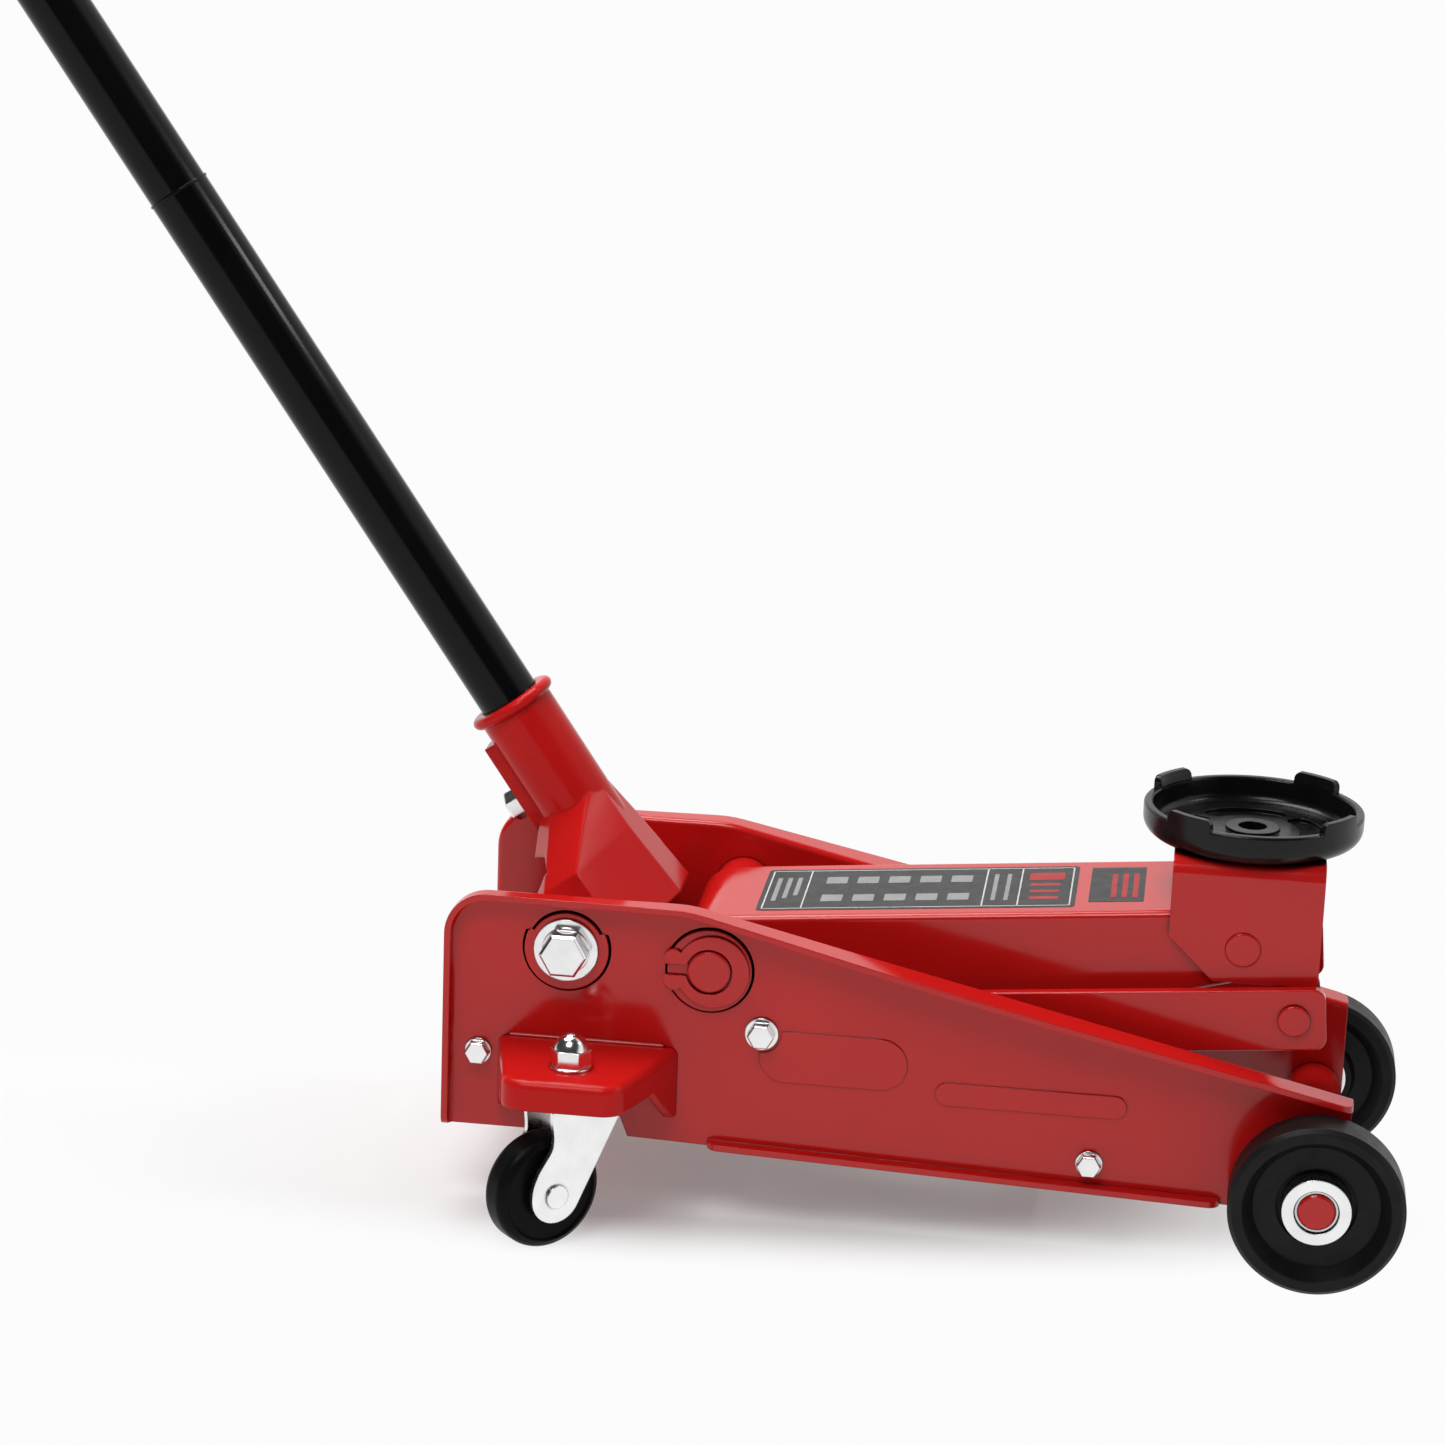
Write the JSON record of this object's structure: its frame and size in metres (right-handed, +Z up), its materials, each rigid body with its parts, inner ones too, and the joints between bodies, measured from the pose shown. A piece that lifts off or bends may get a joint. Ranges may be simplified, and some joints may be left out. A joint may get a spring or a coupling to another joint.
{
  "type": "hydraulic trolley jack",
  "caption": "Low hydraulic trolley jack: flanged side-plate chassis, levelling saddle on a lift arm with links, rear swivel casters and a long sectional pump handle",
  "frame": {"origin": "on the floor, under the middle of the jack's box", "axes": "+X toward the saddle and front wheels, +Y to the left side, +Z up; the handle leans back to -X"},
  "size_m": [0.81, 0.265, 0.7665],
  "materials": {
    "red_paint": "gloss",
    "black_paint": "gloss",
    "saddle_black": "satin",
    "wheel_black": "satin",
    "caster_black": "matte",
    "zinc": "satin",
    "chrome": "polished",
    "steel": "machined",
    "unit_black": "painted",
    "grip_rubber": "matte"
  },
  "bodies": {
    "frame": {"side_plate_left": "red_paint", "side_plate_right": "red_paint", "caster_bracket_left": "red_paint", "caster_bracket_right": "red_paint", "caster_kingpins": "zinc", "rear_cross_bar": "red_paint", "front_spacer_bar": "red_paint", "base_plate": "red_paint", "frame_bolts": "zinc", "link_pivot_bolts": "zinc", "link_pivot_nuts": "steel", "link_spacers": "steel", "handle_pivot_bolts": "chrome", "lift_shaft": "red_paint", "shaft_snap_rings": "red_paint", "shaft_collars": "steel", "front_axle": "red_paint", "axle_spacers": "zinc", "axle_clips": "zinc", "caster_races": "zinc", "caster_dome_nuts": "chrome", "pump_block": "unit_black", "reservoir": "unit_black", "ram_cylinder": "unit_black", "cylinder_head": "unit_black", "filler_plug": "grip_rubber", "pump_spring": "steel", "return_spring_left": "steel", "return_spring_right": "steel"},
    "lift_arm": {"lift_arm": "red_paint", "arm_cross_pins": "steel"},
    "crank_roller": {"crank_roller": "steel"},
    "saddle_bracket": {"saddle_bracket": "red_paint", "saddle_pivot_pin": "red_paint", "link_pins": "red_paint"},
    "saddle": {"saddle": "saddle_black", "saddle_post_ring": "steel"},
    "ram": {"ram": "steel"},
    "handle_socket": {"handle_socket": "red_paint", "handle_clamp_bolt": "chrome", "pump_roller_pin": "steel"},
    "handle": {"handle_lower_tube": "black_paint", "handle_upper_tube": "black_paint", "handle_grip": "grip_rubber", "handle_drive_dog": "steel"},
    "pump_roller": {"pump_roller": "steel"},
    "pump_plunger": {"pump_plunger": "steel"},
    "release_valve": {"release_valve": "steel"},
    "link_left": {"link_left": "red_paint"},
    "front_wheel_left": {"front_wheel_left": "wheel_black", "wheel_bush_left": "zinc"},
    "caster_left": {"caster_fork_left": "zinc", "caster_axle_left": "zinc"},
    "caster_wheel_left": {"caster_wheel_left": "caster_black"},
    "link_right": {"link_right": "red_paint"},
    "front_wheel_right": {"front_wheel_right": "wheel_black", "wheel_bush_right": "zinc"},
    "caster_right": {"caster_fork_right": "zinc", "caster_axle_right": "zinc"},
    "caster_wheel_right": {"caster_wheel_right": "caster_black"}
  },
  "joints": [
    {"name": "lift_arm_raise", "type": "hinge", "parent": "frame", "child": "lift_arm", "pos_m": [0.08335, 0, 0.122], "axis": [0, -1, 0], "range_deg": [0, 50], "deforming": ["return_spring_left", "return_spring_right"]},
    {"name": "saddle_level", "type": "hinge", "parent": "lift_arm", "child": "saddle_bracket", "pos_m": [0.32445, 0, 0.144], "axis": [0, -1, 0], "range_deg": [-50, 0]},
    {"name": "saddle_swivel", "type": "hinge", "parent": "saddle_bracket", "child": "saddle", "pos_m": [0.32545, 0, 0.1849], "axis": [0, 0, 1], "continuous": true},
    {"name": "link_left_swing", "type": "hinge", "parent": "frame", "child": "link_left", "pos_m": [0.10845, 0, 0.0934], "axis": [0, -1, 0], "range_deg": [0, 50]},
    {"name": "link_right_swing", "type": "hinge", "parent": "frame", "child": "link_right", "pos_m": [0.10845, 0, 0.0934], "axis": [0, -1, 0], "range_deg": [0, 50]},
    {"name": "ram_push", "type": "slide", "parent": "frame", "child": "ram", "axis": [1, 0, 0], "range_m": [0, 0.0306]},
    {"name": "crank_roller_spin", "type": "hinge", "parent": "lift_arm", "child": "crank_roller", "pos_m": [0.06813, 0, 0.08937], "axis": [0, 1, 0], "continuous": true},
    {"name": "handle_pump", "type": "hinge", "parent": "frame", "child": "handle_socket", "pos_m": [0.01685, 0, 0.1273], "axis": [0, -1, 0], "range_deg": [0, 45]},
    {"name": "handle_twist", "type": "hinge", "parent": "handle_socket", "child": "handle", "pos_m": [0.03519, 0, 0.13998], "axis": [-0.5686, 0, 0.8226], "range_deg": [0, 180]},
    {"name": "pump_roller_spin", "type": "hinge", "parent": "handle_socket", "child": "pump_roller", "pos_m": [-0.00115, 0, 0.1323], "axis": [0, 1, 0], "continuous": true},
    {"name": "plunger_press", "type": "slide", "parent": "frame", "child": "pump_plunger", "axis": [0, 0, -1], "range_m": [0, 0.0144], "deforming": ["pump_spring"]},
    {"name": "release_valve_turn", "type": "hinge", "parent": "frame", "child": "release_valve", "pos_m": [0.03519, 0, 0.13998], "axis": [-0.5686, 0, 0.8226], "range_deg": [0, 180]},
    {"name": "front_wheel_left_spin", "type": "hinge", "parent": "frame", "child": "front_wheel_left", "pos_m": [0.36505, 0.0868, 0.04], "axis": [0, 1, 0], "continuous": true},
    {"name": "front_wheel_right_spin", "type": "hinge", "parent": "frame", "child": "front_wheel_right", "pos_m": [0.36505, -0.0868, 0.04], "axis": [0, 1, 0], "continuous": true},
    {"name": "caster_left_swivel", "type": "hinge", "parent": "frame", "child": "caster_left", "pos_m": [0.02555, 0.101, 0.06], "axis": [0, 0, 1], "continuous": true},
    {"name": "caster_wheel_left_spin", "type": "hinge", "parent": "caster_left", "child": "caster_wheel_left", "pos_m": [0.01514, 0.11037, 0.027], "axis": [0.6691, 0.7431, 0], "continuous": true},
    {"name": "caster_right_swivel", "type": "hinge", "parent": "frame", "child": "caster_right", "pos_m": [0.02555, -0.101, 0.06], "axis": [0, 0, 1], "continuous": true},
    {"name": "caster_wheel_right_spin", "type": "hinge", "parent": "caster_right", "child": "caster_wheel_right", "pos_m": [0.01514, -0.11037, 0.027], "axis": [0.6691, -0.7431, 0], "continuous": true}
  ],
  "couplings": [
    {"joint": "saddle_level", "follows": "lift_arm_raise", "ratio": -1},
    {"joint": "link_left_swing", "follows": "lift_arm_raise", "ratio": 1},
    {"joint": "link_right_swing", "follows": "lift_arm_raise", "ratio": 1},
    {"joint": "ram_push", "follows": "lift_arm_raise", "m_per_rad": 0.034869},
    {"joint": "plunger_press", "follows": "handle_pump", "m_per_rad": 0.01807},
    {"joint": "release_valve_turn", "follows": "handle_twist", "ratio": 1}
  ]
}
